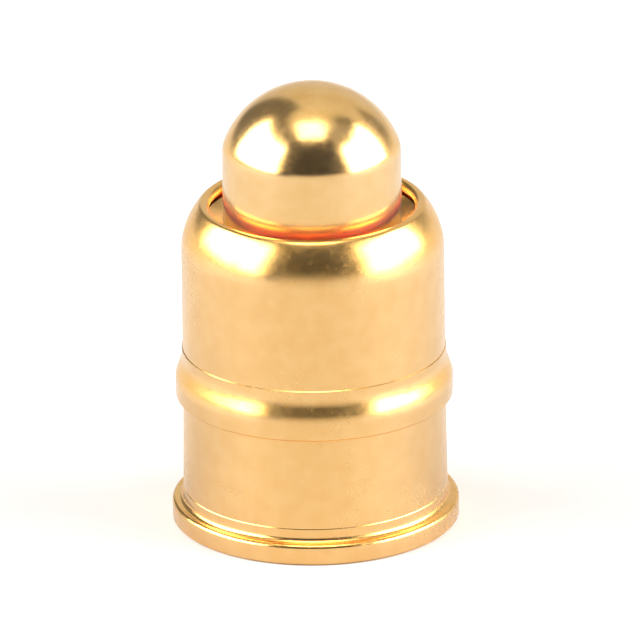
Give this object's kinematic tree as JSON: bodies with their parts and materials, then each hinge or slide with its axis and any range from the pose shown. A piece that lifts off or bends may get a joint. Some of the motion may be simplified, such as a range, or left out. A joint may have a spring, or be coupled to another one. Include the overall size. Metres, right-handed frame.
{
  "type": "pogo pin",
  "caption": "Spring-loaded contact pin: a turned barrel with a base flange and retaining ring holds a sprung round-nosed plunger that presses down into it.",
  "frame": {"origin": "centre of the solder face, the flat underside of the base flange", "axes": "+Z along the pin's axis, from the solder face to the contact tip; the pin is round, so X and Y are free"},
  "size_m": [0.0024, 0.0024, 0.0038],
  "materials": {
    "barrel": "gold plated, fine turned, polished",
    "plunger": "gold plated, polished",
    "spring": "drawn spring wire"
  },
  "bodies": {
    "barrel": {"barrel": "barrel"},
    "spring": {"spring": "spring"},
    "plunger": {"plunger": "plunger"}
  },
  "joints": [
    {"name": "plunger_spin", "type": "hinge", "parent": "barrel", "child": "spring", "pos_m": [0, 0, 0.0004], "axis": [0, 0, 1], "continuous": true},
    {"name": "plunger_press", "type": "slide", "parent": "spring", "child": "plunger", "axis": [0, 0, -1], "range_m": [0, 0.0008], "stiffness_N_per_m": 600, "deforming": ["spring"]}
  ]
}
